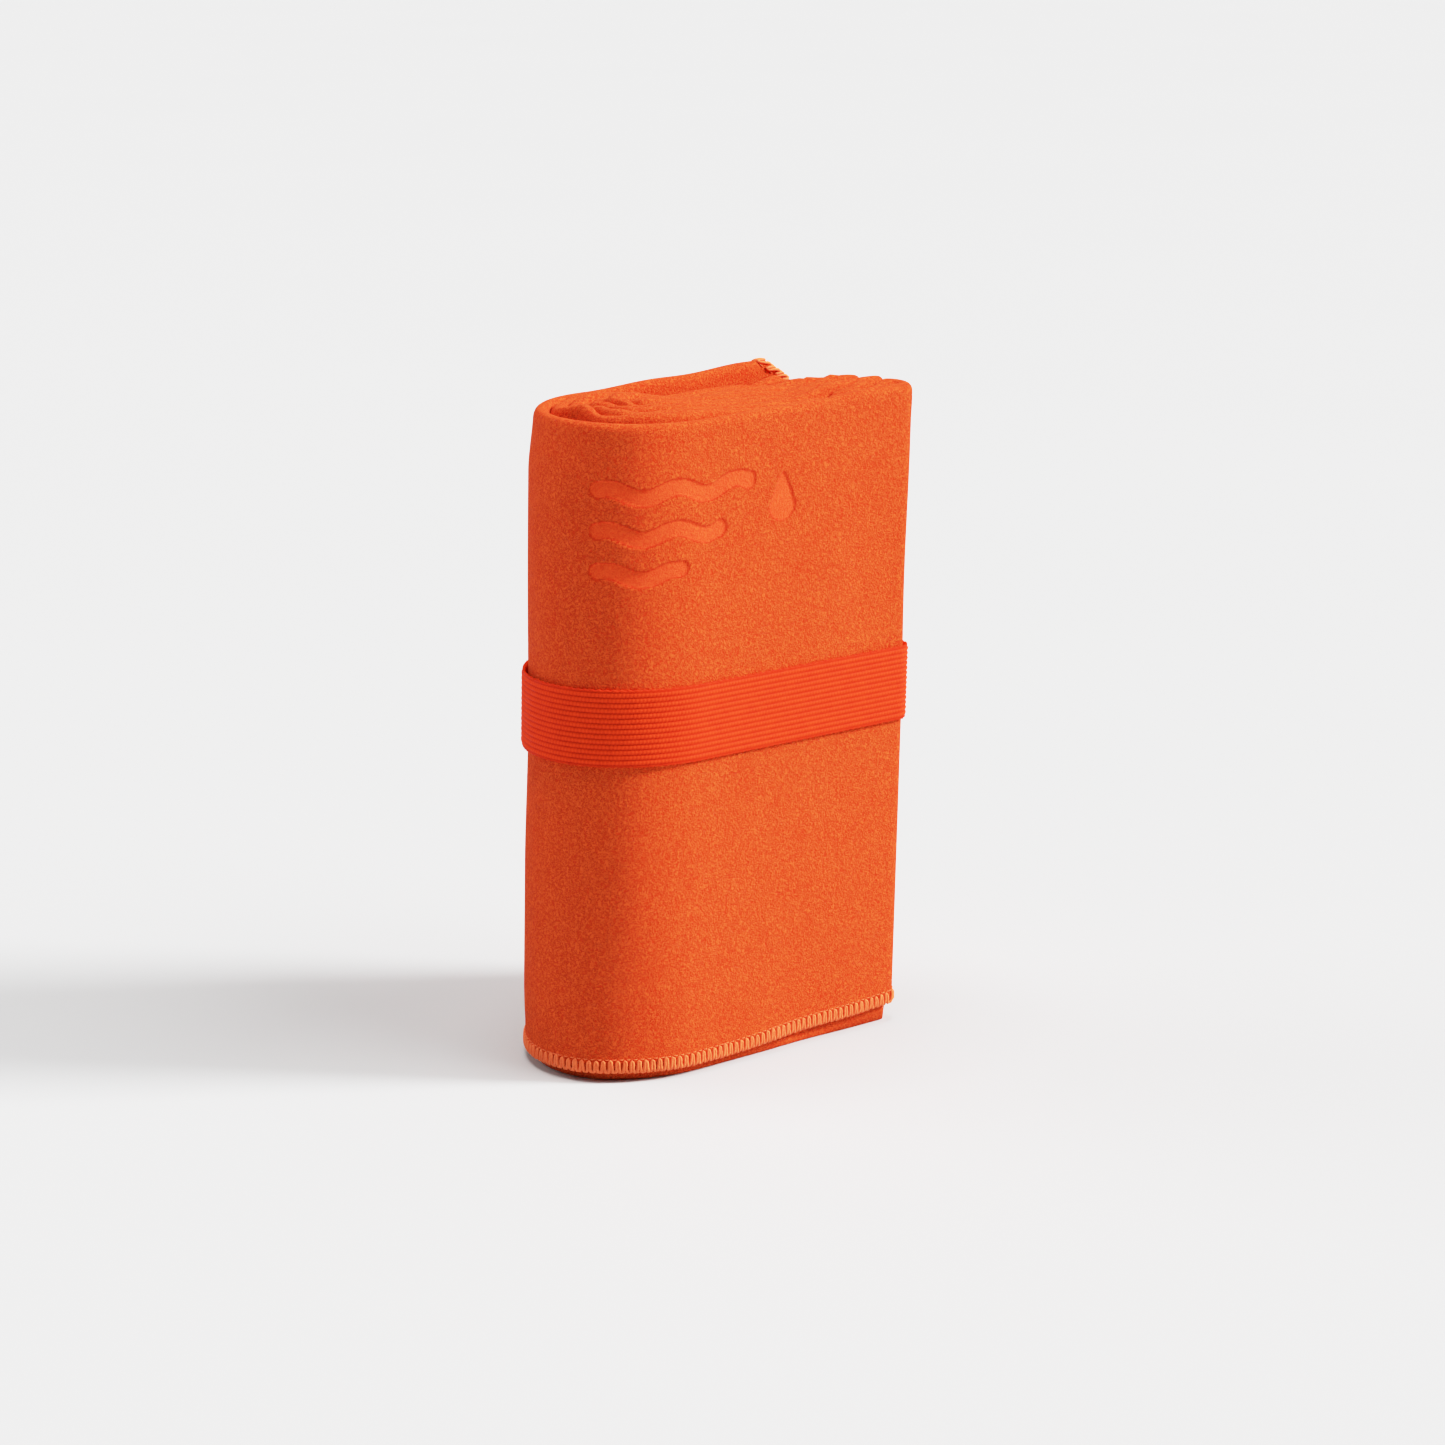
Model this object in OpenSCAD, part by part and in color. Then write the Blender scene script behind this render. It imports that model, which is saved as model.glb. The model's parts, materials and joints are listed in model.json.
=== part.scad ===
/* [Towel bundle] */
// Height of the folded towel, which stands on end
bundle_h = 216; // [180:1:240]
// Length of the bundle, from the round end to the end with the tight turns
bundle_w = 124; // [110:1:150]
// Thickness of the bundle across all its passes
bundle_t = 66; // [60:1:76]
// Length of the round end's half ellipse, as a share of half the thickness
nose_stretch = 1.14; // [1:0.02:1.3]
// Angle by which the standing bundle leans towards the tight turns, in degrees
lean = 1.5; // [0:0.25:3]
// Thickness of one ply of the cloth with its nap
ply_t = 1.15; // [0.7:0.05:1.15]
// Passes of the folded strip, counted from the front face to the back face
passes = 12; // [8:4:12]
// How far the loose outer end stops short of the tight turns' tips
flap_setback = 5; // [5:0.5:20]
// How far the innermost end stops short of the tight turns' tips
core_setback = 9; // [6:0.5:30]
// Difference in reach between neighbouring tight turns
turn_stagger = 0.8; // [0:0.1:2]

/* [Overlocked edges] */
// Width of the looper threads' edging over each cut edge
overlock_w = 3.6; // [3:0.1:5]
// Width of the needle thread's seam beside the edging
needle_w = 0.7; // [0.4:0.1:1]
// How far the outer long edge hangs above the surface that the bundle stands on
hem_lift = 3; // [1:0.5:8]
// How much higher the inner long edge ends than the outer one
hem_step = 1.2; // [0.2:0.1:3]

/* [Elastic band] */
// Width of the elastic, which is its height as it goes round the bundle
band_w = 25; // [20:1:32]
// Thickness of the elastic
band_t = 1.1; // [1:0.1:1.6]
// Height of the elastic's lower edge
band_z = 105; // [80:0.5:130]
// Rubber strands side by side in the elastic
strand_count = 14; // [8:1:16]
// Side of one square rubber strand
strand_side = 0.6; // [0.4:0.1:0.7]
// Length of the lap where the elastic's two ends are sewn together
lap_len = 18; // [12:1:30]
// Rows of zigzag stitching across the lap
lap_rows = 3; // [2:1:4]

/* [Hidden] */
$fn = 96;

cloth_colour = [0.92, 0.31, 0.10];
thread_colour = [0.98, 0.52, 0.22];
band_colour = [0.90, 0.20, 0.06];
rubber_colour = [0.85, 0.80, 0.70];

plies = 4;
strip_t = plies * ply_t;
half_t = strip_t / 2;
half_w = bundle_w / 2;
pitch = (bundle_t - strip_t) / (passes - 1);
half_count = passes / 2;
nose_x = nose_stretch * bundle_t / 2 - half_w;
tip_x = half_w - pitch / 2 - half_t;
corner_r = pitch / 2 + half_t;
seam_w = overlock_w + needle_w;
outer_hem_top = hem_lift + seam_w;
inner_hem_top = outer_hem_top + hem_step;
loose_pass = passes - 1;
core_pass = half_count;

band_gap = 0.3;
strand_gap = 0.05;
strand_pitch = band_w / (strand_count + 1);
lap_x = 8;
zigzag_w = 3;
zigzag_step = 1.6;
zigzag_thread = 0.6;
thread_t = 0.25;
overrun = 1;

// Distance from the middle of the bundle to the middle of pass i, towards the back
function pass_y(i) = (i - (passes - 1) / 2) * pitch;

// Pass i in the front half, or the front pass that meets pass i round the round end
function front_pass(i) = i < half_count ? i : passes - 1 - i;

// 1 where the cloth's outer side faces away from the bundle's middle, -1 where it faces the middle
function outer_side(i) = front_pass(i) % 2 == 0 ? 1 : -1;

// -1 for a pass in the front half, 1 for a pass in the back half
function half_sign(i) = i < half_count ? -1 : 1;

// Which tight turn pass i ends in, counted inwards from its own face
function turn_group(i) = i < half_count ? floor(i / 2) : floor((passes - i) / 2);

// Centre of the tight turn that pass i ends in
function turn_x(i) = tip_x - turn_stagger * turn_group(i);

// Where the cloth of pass i stops at the end with the tight turns
function pass_end_x(i) = i == loose_pass ? half_w - flap_setback - seam_w
                       : i == core_pass ? half_w - core_setback - seam_w
                       : turn_x(i);

// The pass that comes k-th along the strip, counted from the loose end
function pass_at(k) = k % 4 == 0 ? loose_pass - k / 2
                    : k % 4 == 1 ? floor(k / 2)
                    : k % 4 == 2 ? k / 2
                    : loose_pass - floor(k / 2);

// Points along an arc that is stretched along X, with more steps on a larger one; both ends are included
function arc_points(centre, r, from, to, stretch = 1) =
  let (steps = ceil(3 * sqrt(r)) + 3)
  [for (s = [0 : steps])
    let (a = from + (to - from) * s / steps)
    centre + r * [stretch * cos(a), sin(a)]];

// Points of the wide turn round the round end, from pass i to the pass opposite it, at a depth
function wide_turn(i, depth) =
  let (start = 180 - half_sign(i) * 90)
  arc_points([nose_x, 0], abs(pass_y(i)) + outer_side(i) * depth, start, 360 - start, nose_stretch);

// Points of the tight turn from pass i to pass j beside it, at a depth
function tight_turn(i, j, depth) =
  arc_points([turn_x(i), (pass_y(i) + pass_y(j)) / 2],
             pitch / 2 - half_sign(i) * depth, (i - j) * 90, (j - i) * 90);

// Side of pass i at a depth, at x
function side_point(i, x, depth) = [x, pass_y(i) + half_sign(i) * outer_side(i) * depth];

// One long side of the strip in plan, from the loose end to the core end, at a depth
function strip_side(depth) = concat(
  [side_point(loose_pass, pass_end_x(loose_pass), depth)],
  [for (k = [0 : passes - 2])
    for (p = k % 2 == 0 ? wide_turn(pass_at(k), depth)
                        : tight_turn(pass_at(k), pass_at(k + 1), depth)) p],
  [side_point(core_pass, pass_end_x(core_pass), depth)]
);

// The same points in the other order
function reversed(points) = [for (i = [len(points) - 1 : -1 : 0]) points[i]];

// Plan of the folded strip between two depths: -half_t is the cloth's inner side, half_t its outer side
module strip_plan(n0, n1) {
  polygon(concat(strip_side(n1), reversed(strip_side(n0))));
}

// Plan of pass i from x0 to x1 between two depths
module pass_plan(i, x0, x1, n0, n1) {
  out = half_sign(i) * outer_side(i);
  translate([x0, pass_y(i) + min(out * n0, out * n1)])
    square([x1 - x0, n1 - n0]);
}

// A plan drawn up along the bundle's leaning axis and cut off level at two heights
module leaning_wall(z0, z1) {
  reach = bundle_h + bundle_w;
  intersection() {
    translate([0, 0, bundle_h / 2])
      rotate([0, lean, 0])
        linear_extrude(2 * reach, center = true)
          children();
    translate([-reach, -reach, z0])
      cube([2 * reach, 2 * reach, z1 - z0]);
  }
}

// Wall of the folded strip between two depths and two heights
module strip_wall(n0, n1, z0, z1) {
  leaning_wall(z0, z1)
    strip_plan(n0, n1);
}

// Slab across a cut end of pass i, from x0 to x1, with the lifted outer plies
module end_slab(i, x0, x1) {
  leaning_wall(hem_lift, bundle_h)
    pass_plan(i, x0, x1, -half_t, half_t);
  leaning_wall(0, hem_lift)
    pass_plan(i, x0, x1, -half_t, 0);
}

// Outline of the bundle, grown outwards by a distance
module bundle_plan(grow) {
  inner = [half_w - corner_r, bundle_t / 2 - corner_r];
  nose = concat(
    [[nose_x, bundle_t / 2 + grow]],
    [for (p = arc_points([nose_x, 0], bundle_t / 2, 90, 270, nose_stretch))
      let (u = [p[0] - nose_x, p[1] * nose_stretch * nose_stretch])
      p + grow * u / norm(u)],
    [[nose_x, -bundle_t / 2 - grow]]
  );
  front_corner = arc_points([inner[0], -inner[1]], corner_r + grow, 270, 360);
  back_corner = arc_points(inner, corner_r + grow, 0, 90);
  polygon(concat(nose, front_corner, back_corner));
}

// Ring round the bundle between two distances from its outline and two heights
module band_ring(near, far, z0, z1) {
  leaning_wall(z0, z1)
    difference() {
      bundle_plan(far);
      bundle_plan(near);
    }
}

// Height of the lower side of rubber strand k
function strand_z(k) = band_z + (k + 1) * strand_pitch - strand_side / 2;

// Outline of one upright row of zigzag stitching, with its length along X
module zigzag_plan() {
  turns = floor(band_w / zigzag_step) - 1;
  near_side = [for (k = [0 : turns]) [k * zigzag_step, (k % 2) * zigzag_w]];
  far_side = [for (k = [turns : -1 : 0]) [k * zigzag_step, (k % 2) * zigzag_w + zigzag_thread]];
  polygon(concat(near_side, far_side));
}

module towel_cloth() {
  color(cloth_colour) {
    strip_wall(-half_t, half_t, inner_hem_top, bundle_h);
    strip_wall(ply_t, half_t, outer_hem_top, inner_hem_top);
    strip_wall(-half_t, 0, 0, inner_hem_top);
  }
}

module outer_long_edge_overlock() {
  color(thread_colour)
    strip_wall(ply_t, half_t, hem_lift, hem_lift + overlock_w);
}

module outer_long_edge_needle_seam() {
  color(thread_colour)
    strip_wall(ply_t, half_t, hem_lift + overlock_w, outer_hem_top);
}

module inner_long_edge_overlock() {
  color(thread_colour)
    strip_wall(0, ply_t, hem_lift + hem_step, hem_lift + hem_step + overlock_w);
}

module inner_long_edge_needle_seam() {
  color(thread_colour)
    strip_wall(0, ply_t, hem_lift + hem_step + overlock_w, inner_hem_top);
}

module loose_end_overlock() {
  end_x = half_w - flap_setback;
  color(thread_colour)
    end_slab(loose_pass, end_x - overlock_w, end_x);
}

module loose_end_needle_seam() {
  end_x = half_w - flap_setback;
  color(thread_colour)
    end_slab(loose_pass, end_x - seam_w, end_x - overlock_w);
}

module core_end_overlock() {
  end_x = half_w - core_setback;
  color(thread_colour)
    end_slab(core_pass, end_x - overlock_w, end_x);
}

module core_end_needle_seam() {
  end_x = half_w - core_setback;
  color(thread_colour)
    end_slab(core_pass, end_x - seam_w, end_x - overlock_w);
}

module band_webbing() {
  lap_y = bundle_t / 2 + band_gap + band_t;
  color(band_colour) {
    difference() {
      band_ring(band_gap, band_gap + band_t, band_z, band_z + band_w);
      for (k = [0 : strand_count - 1])
        band_ring(band_gap - overrun, band_gap + strand_side + 2 * strand_gap,
                  strand_z(k) - strand_gap, strand_z(k) + strand_side + strand_gap);
    }
    translate([lap_x - lap_len / 2, lap_y, band_z])
      cube([lap_len, band_t, band_w]);
  }
}

module band_rubber_strands() {
  color(rubber_colour)
    for (k = [0 : strand_count - 1])
      band_ring(band_gap + strand_gap, band_gap + strand_gap + strand_side,
                strand_z(k), strand_z(k) + strand_side);
}

module band_lap_stitching() {
  row_pitch = (lap_len - 2 * zigzag_w) / (lap_rows - 1);
  first_x = lap_x + lap_len / 2 - zigzag_w / 2;
  lap_face = bundle_t / 2 + band_gap + 2 * band_t;
  color(thread_colour)
    for (row = [0 : lap_rows - 1])
      translate([first_x - row * row_pitch, lap_face, band_z + zigzag_step])
        rotate([90, -90, 180])
          linear_extrude(thread_t)
            zigzag_plan();
}

towel_cloth();
outer_long_edge_overlock();
outer_long_edge_needle_seam();
inner_long_edge_overlock();
inner_long_edge_needle_seam();
loose_end_overlock();
loose_end_needle_seam();
core_end_overlock();
core_end_needle_seam();
band_webbing();
band_rubber_strands();
band_lap_stitching();
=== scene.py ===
"""Quick dry towel, folded flat into a standing bundle, with an elastic band round it."""
from __future__ import annotations

import json
import logging
import math
from dataclasses import dataclass, field
from enum import Enum

import bpy
import numpy as np
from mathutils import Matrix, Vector


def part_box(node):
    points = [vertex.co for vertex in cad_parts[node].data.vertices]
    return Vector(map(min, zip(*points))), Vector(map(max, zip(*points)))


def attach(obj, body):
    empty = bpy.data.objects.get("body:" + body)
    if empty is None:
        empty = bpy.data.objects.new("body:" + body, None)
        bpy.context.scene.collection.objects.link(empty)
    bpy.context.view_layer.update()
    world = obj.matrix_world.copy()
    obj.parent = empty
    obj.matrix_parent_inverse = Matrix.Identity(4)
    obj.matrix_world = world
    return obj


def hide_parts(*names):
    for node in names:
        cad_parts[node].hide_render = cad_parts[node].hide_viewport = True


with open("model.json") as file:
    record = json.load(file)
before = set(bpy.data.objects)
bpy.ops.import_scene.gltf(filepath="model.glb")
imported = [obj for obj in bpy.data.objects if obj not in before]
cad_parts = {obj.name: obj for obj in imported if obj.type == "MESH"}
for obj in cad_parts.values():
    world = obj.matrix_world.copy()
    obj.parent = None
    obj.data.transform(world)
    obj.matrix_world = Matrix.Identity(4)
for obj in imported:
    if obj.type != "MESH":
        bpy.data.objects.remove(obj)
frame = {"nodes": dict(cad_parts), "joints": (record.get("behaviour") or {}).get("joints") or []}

LOG = logging.getLogger("towel")
MM = 0.001
MOST = (0.3, 0.7)  # the range that most of a noise's values lie in

Triple = tuple[float, float, float]
Socket = bpy.types.NodeSocket
Feed = float | Triple | Socket


class Body(Enum):
    """The two bodies that the pieces ride on."""

    TOWEL = "towel"
    BAND = "band"


class Edge(Enum):
    """The four cut edges of the towel."""

    OUTER_LONG = "outer_long_edge"
    INNER_LONG = "inner_long_edge"
    LOOSE_END = "loose_end"
    CORE_END = "core_end"

    @property
    def seed(self) -> int:
        """The seed of the edge's own unevenness."""
        return 100 + 10 * list(Edge).index(self)

    @property
    def shows(self) -> bool:
        """Whether the edge can be seen while the bundle is closed."""
        return self in (Edge.OUTER_LONG, Edge.LOOSE_END)


class Sum(Enum):
    """The ways in which a finish joins two values."""

    PLUS = "ADD"
    MINUS = "SUBTRACT"
    TIMES = "MULTIPLY"


def ease(value: np.ndarray | float, start: float, end: float) -> np.ndarray:
    """Smooth step from 0 at start to 1 at end.

    Args:
        value: where to read the step.
        start: the value at which it leaves 0.
        end: the value at which it reaches 1.

    Returns:
        The step's height at each value.
    """
    t = np.clip((np.asarray(value, float) - start) / (end - start), 0.0, 1.0)
    return t * t * (3.0 - 2.0 * t)


def spaced(start: float, end: float, step: float) -> np.ndarray:
    """Evenly spaced numbers from start up to but not including end, about a step apart."""
    count = max(1, int(round(abs(end - start) / step)))
    return np.linspace(start, end, count, endpoint=False)


def unit(rows: np.ndarray) -> np.ndarray:
    """Scales each row of an array to length 1."""
    return rows / np.maximum(np.linalg.norm(rows, axis=-1, keepdims=True), 1e-9)


def distance_along(points: np.ndarray) -> np.ndarray:
    """Distance from the first point of a line to each of its points."""
    return np.concatenate([[0.0], np.cumsum(np.linalg.norm(np.diff(points, axis=0), axis=1))])


@dataclass(frozen=True)
class Ripple:
    """A gentle seeded unevenness, made of a few crossing waves with lengths in millimetres."""

    seed: int
    longest: float
    shortest: float
    waves: int = 7

    def at(self, a: np.ndarray | float, b: np.ndarray | float = 0.0) -> np.ndarray:
        """Height of the unevenness, from about -1 to 1.

        Args:
            a: first coordinate, in millimetres.
            b: second coordinate, in millimetres.

        Returns:
            The height at each pair of coordinates.
        """
        rng = np.random.default_rng(self.seed)
        total = np.zeros(np.broadcast(np.asarray(a), np.asarray(b)).shape)
        for _ in range(self.waves):
            length = math.exp(rng.uniform(math.log(self.shortest), math.log(self.longest)))
            turn, shift = rng.uniform(0.0, math.tau, 2)
            phase = (np.asarray(a) * math.cos(turn) + np.asarray(b) * math.sin(turn)) / length
            total = total + np.sin(math.tau * phase + shift)
        return total / math.sqrt(self.waves * 2.0)


@dataclass
class MeshDraft:
    """Points and faces gathered before they become one mesh object."""

    points: list[np.ndarray] = field(default_factory=list)
    faces: list[list[int]] = field(default_factory=list)
    count: int = 0

    def add_points(self, points: np.ndarray) -> np.ndarray:
        """Adds points and gives their numbers.

        Args:
            points: an array whose last axis is x, y and z in millimetres.

        Returns:
            The numbers of the points, in the array's shape without its last axis.
        """
        flat = np.asarray(points, float).reshape(-1, 3)
        numbers = np.arange(self.count, self.count + len(flat)).reshape(points.shape[:-1])
        self.points.append(flat)
        self.count += len(flat)
        return numbers

    def add_quads(self, grid: np.ndarray, flip: bool = False) -> None:
        """Covers a grid of point numbers with four-sided faces.

        Args:
            grid: point numbers in rows and columns.
            flip: True turns the faces over.
        """
        quads = np.stack([grid[:-1, :-1], grid[1:, :-1], grid[1:, 1:], grid[:-1, 1:]], -1)
        quads = quads.reshape(-1, 4)
        self.faces.extend((quads[:, ::-1] if flip else quads).tolist())

    def add_tube(self, rings: np.ndarray) -> None:
        """Adds a tube with closed ends.

        Args:
            rings: an array of rings, points and coordinates, in millimetres.
        """
        grid = self.add_points(rings)
        self.add_quads(np.concatenate([grid, grid[:, :1]], axis=1))
        self.faces += [grid[0].tolist(), grid[-1][::-1].tolist()]

    def build(self, name: str, finish: bpy.types.Material, **marks: np.ndarray) -> bpy.types.Object:
        """Makes the smooth-shaded mesh object.

        Args:
            name: the piece's name.
            finish: the piece's material.
            marks: for each mark that the finish reads, a number for each point.

        Returns:
            The new object, linked to the scene, in metres.
        """
        mesh = bpy.data.meshes.new(name)
        mesh.from_pydata((np.concatenate(self.points) * MM).tolist(), [], self.faces)
        mesh.validate()
        mesh.shade_smooth()
        mesh.materials.append(finish)
        for mark, values in marks.items():
            layer = mesh.attributes.new(mark, "FLOAT", "POINT")
            layer.data.foreach_set("value", np.asarray(values, np.float32).ravel())
        obj = bpy.data.objects.new(name, mesh)
        bpy.context.scene.collection.objects.link(obj)
        return obj


@dataclass
class Yarn:
    """A thread laid along a line of points, with a radius in millimetres at each."""

    points: np.ndarray
    radii: np.ndarray
    sides: int = 6

    def lay(self, draft: MeshDraft) -> None:
        """Adds the thread's closed tube to a draft.

        Args:
            draft: the mesh draft that takes it.
        """
        tangent = unit(np.gradient(self.points, axis=0))
        side = np.empty_like(self.points)
        current = np.cross(tangent[0], [0.0, 0.0, 1.0])
        if np.linalg.norm(current) < 0.1:
            current = np.cross(tangent[0], [0.0, 1.0, 0.0])
        for k, direction in enumerate(tangent):
            current = current - direction * current.dot(direction)
            current = current / max(math.sqrt(current.dot(current)), 1e-9)
            side[k] = current
        turn = np.arange(self.sides) * math.tau / self.sides
        ring = (
            np.cos(turn)[None, :, None] * side[:, None, :]
            + np.sin(turn)[None, :, None] * np.cross(tangent, side)[:, None, :]
        )
        draft.add_tube(self.points[:, None, :] + ring * self.radii[:, None, None])


@dataclass
class NodeBench:
    """A material in the making, with short ways to add its nodes."""

    name: str

    def __post_init__(self) -> None:
        """Makes the material with its shader and output."""
        self.material = bpy.data.materials.new(self.name)
        self.material.use_nodes = True
        self.tree = self.material.node_tree
        self.shader = next(n for n in self.tree.nodes if n.type == "BSDF_PRINCIPLED")
        self.place = self.tree.nodes.new("ShaderNodeTexCoord").outputs["Object"]

    def constant(self, **values: float | tuple[float, ...]) -> None:
        """Sets plain values on the shader's own sockets, with _ for a space in a name."""
        for key, value in values.items():
            self.shader.inputs[key.replace("_", " ")].default_value = value

    def connect(self, socket: Socket, name: str) -> None:
        """Links a socket to one of the shader's inputs."""
        self.tree.links.new(socket, self.shader.inputs[name])

    def node(self, kind: str, feeds: dict[str | int, Feed], gives: str | int, **settings: str) -> Socket:
        """Adds a node.

        Args:
            kind: the node's type.
            feeds: what each input takes: a socket, a number or a colour.
            gives: the output that is wanted.
            settings: the node's own settings.

        Returns:
            The output's socket.
        """
        node = self.tree.nodes.new("ShaderNode" + kind)
        for key, value in settings.items():
            setattr(node, key, value)
        for key, value in feeds.items():
            if isinstance(value, Socket):
                self.tree.links.new(value, node.inputs[key])
            else:
                node.inputs[key].default_value = (*value, 1.0) if isinstance(value, tuple) else value
        return node.outputs[gives]

    def noise(self, size: float, detail: float = 2.0, rough: float = 0.5, twist: float = 0.0) -> Socket:
        """A noise with lumps of a size in millimetres, and with finer lumps and curls in them."""
        look = {"Scale": 1.0 / (size * MM), "Detail": detail, "Roughness": rough, "Distortion": twist}
        return self.node("TexNoise", {"Vector": self.place, **look}, "Fac")

    def mark(self, name: str) -> Socket:
        """The numbers that a mesh carries at its points under a name."""
        return self.node("Attribute", {}, "Fac", attribute_name=name)

    def ramp(
        self, source: Socket, low: float, high: float, to_low: float = 0.0, to_high: float = 1.0
    ) -> Socket:
        """Stretches a value's range, so that low and high become to_low and to_high."""
        ends = {"From Min": low, "From Max": high, "To Min": to_low, "To Max": to_high}
        return self.node("MapRange", {"Value": source, **ends}, "Result")

    def sums(self, kind: Sum, a: Socket, b: Socket | float) -> Socket:
        """Joins two values."""
        return self.node("Math", {0: a, 1: b}, "Value", operation=kind.value)

    def tint(self, amount: Socket, dark: Feed, light: Feed) -> Socket:
        """Blends two colours, from dark where the amount is 0 to light where it is 1."""
        return self.node("Mix", {"Factor": amount, 6: dark, 7: light}, 2, data_type="RGBA")

    def relief(self, height: Socket, distance: float, strength: float = 1.0) -> Socket:
        """Turns a height from 0 to 1 into a bump that is some millimetres deep."""
        feeds = {"Height": height, "Distance": distance * MM, "Strength": strength}
        return self.node("Bump", feeds, "Normal")


@dataclass(frozen=True)
class NappedCloth:
    """Brushed microfibre: a short curly nap, which lies flat and smooth where it is pressed.

    Attributes:
        dark: the nap's darker tone, with painted shade deep in the nap.
        light: the nap's lighter tone, with painted highlight at the tips of the nap.
        pressed: deeper colour of the pressed nap.
        smooth: brighter colour of the pressed nap.
        nap: size of the curls, in millimetres.
        fibre: size of single fibres.
        patch: size of the areas where the nap lies the same way.
        shares: how much the curls, the fibres and the areas add to the colour.
        flattened: the share of the nap's depth that is left where it is pressed.
        outline: how much painted shade darkens the rim of a pressed mark.
    """

    name: str = "napped_cloth"
    dark: Triple = (0.66, 0.022, 0.0033)
    light: Triple = (1.0, 0.122, 0.0225)
    pressed: Triple = (0.86, 0.054, 0.0110)
    smooth: Triple = (0.96, 0.074, 0.0160)
    nap: float = 0.74
    fibre: float = 0.26
    patch: float = 9.0
    shares: Triple = (0.66, 0.26, 0.08)
    relief: float = 0.66
    flattened: float = 0.35
    outline: float = 1.8
    sheen: float = 0.03

    def material(self) -> bpy.types.Material:
        """Builds the material.

        Returns:
            The new material.
        """
        bench = NodeBench(self.name)
        curls = bench.noise(self.nap, 2.0, 0.55, 1.1)
        fibres = bench.noise(self.fibre, 2.0, 0.6)
        patches = bench.noise(self.patch, 3.0, 0.55)
        pressed = bench.mark("pressed")
        soft = bench.sums(Sum.TIMES, bench.ramp(curls, 0.38, 0.62), self.shares[0])
        fine = bench.sums(Sum.TIMES, bench.ramp(fibres, 0.32, 0.68), self.shares[1])
        wide = bench.sums(Sum.TIMES, bench.ramp(patches, *MOST), self.shares[2])
        nap = bench.sums(Sum.PLUS, soft, fine)
        # painted shade along the rim of each pressed mark, which darkens the nap's colour there
        rim = bench.sums(Sum.TIMES, pressed, bench.ramp(pressed, 0.0, 1.0, self.outline, 0.0))
        depth = bench.sums(Sum.MINUS, bench.sums(Sum.PLUS, nap, wide), rim)
        # the nap's random tone, with painted shade deep in the nap and painted highlight at its tips
        napped = bench.tint(depth, self.dark, self.light)
        flat = bench.tint(bench.ramp(fibres, 0.2, 0.8), self.pressed, self.smooth)
        bench.connect(bench.tint(bench.sums(Sum.TIMES, pressed, 0.5), napped, flat), "Base Color")
        bench.connect(bench.ramp(pressed, 0.0, 1.0, 0.92, 0.7), "Roughness")
        height = bench.sums(Sum.TIMES, nap, bench.ramp(pressed, 0.0, 1.0, 1.0, self.flattened))
        bench.connect(bench.relief(height, self.relief), "Normal")
        bench.constant(
            Specular_IOR_Level=0.06,
            Sheen_Weight=self.sheen,
            Sheen_Roughness=0.45,
            Sheen_Tint=(1.0, 0.34, 0.16, 1.0),
        )
        return bench.material


@dataclass(frozen=True)
class LooperThread:
    """Bulky textured sewing thread, whose fibres show as fine streaks."""

    name: str = "looper_thread"
    dark: Triple = (0.76, 0.085, 0.018)
    light: Triple = (1.0, 0.205, 0.058)
    fibre: float = 0.22
    strand: float = 0.9

    def material(self) -> bpy.types.Material:
        """Builds the material.

        Returns:
            The new material.
        """
        bench = NodeBench(self.name)
        fibres = bench.noise(self.fibre, 2.0, 0.6, 0.4)
        strands = bench.noise(self.strand)
        mix = bench.sums(Sum.PLUS, bench.ramp(fibres, *MOST, 0.0, 0.6), bench.ramp(strands, *MOST, 0.0, 0.4))
        bench.connect(bench.tint(mix, self.dark, self.light), "Base Color")
        bench.connect(bench.relief(fibres, 0.12, 0.8), "Normal")
        bench.connect(bench.ramp(strands, *MOST, 0.62, 0.8), "Roughness")
        bench.constant(
            Specular_IOR_Level=0.2, Sheen_Weight=0.12, Sheen_Roughness=0.4, Sheen_Tint=(1.0, 0.62, 0.38, 1.0)
        )
        return bench.material


@dataclass(frozen=True)
class RibbedElastic:
    """Woven elastic: filament yarn over rubber, redder than the cloth, with painted shade between its ribs
    and painted highlight on their crests.
    """

    name: str = "ribbed_elastic"
    dark: Triple = (0.42, 0.007, 0.0015)
    light: Triple = (1.0, 0.062, 0.0105)
    filament: float = 0.25
    length: float = 3.0

    def material(self) -> bpy.types.Material:
        """Builds the material.

        Returns:
            The new material.
        """
        bench = NodeBench(self.name)
        filaments = bench.noise(self.filament, 2.0, 0.6)
        lengths = bench.noise(self.length)
        fine = bench.sums(
            Sum.PLUS, bench.ramp(filaments, *MOST, 0.0, 0.30), bench.ramp(lengths, *MOST, 0.0, 0.10)
        )
        # the crest mark paints highlight on the ribs' crests and shade between the ribs
        mix = bench.sums(Sum.PLUS, fine, bench.sums(Sum.TIMES, bench.mark("crest"), 0.60))
        bench.connect(bench.tint(mix, self.dark, self.light), "Base Color")
        bench.connect(bench.relief(filaments, 0.10, 0.7), "Normal")
        bench.connect(bench.ramp(lengths, *MOST, 0.5, 0.62), "Roughness")
        bench.constant(Specular_IOR_Level=0.03)
        return bench.material


@dataclass(frozen=True)
class BareRubber:
    """Cut natural rubber with a dusting of talc."""

    name: str = "bare_rubber"
    dark: Triple = (0.62, 0.52, 0.38)
    light: Triple = (0.80, 0.74, 0.62)
    talc: float = 0.6

    def material(self) -> bpy.types.Material:
        """Builds the material.

        Returns:
            The new material.
        """
        bench = NodeBench(self.name)
        talc = bench.noise(self.talc, 3.0, 0.6)
        bench.connect(bench.tint(bench.ramp(talc, 0.35, 0.65), self.dark, self.light), "Base Color")
        bench.connect(bench.relief(talc, 0.05, 0.6), "Normal")
        bench.connect(bench.ramp(talc, *MOST, 0.45, 0.75), "Roughness")
        return bench.material


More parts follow.
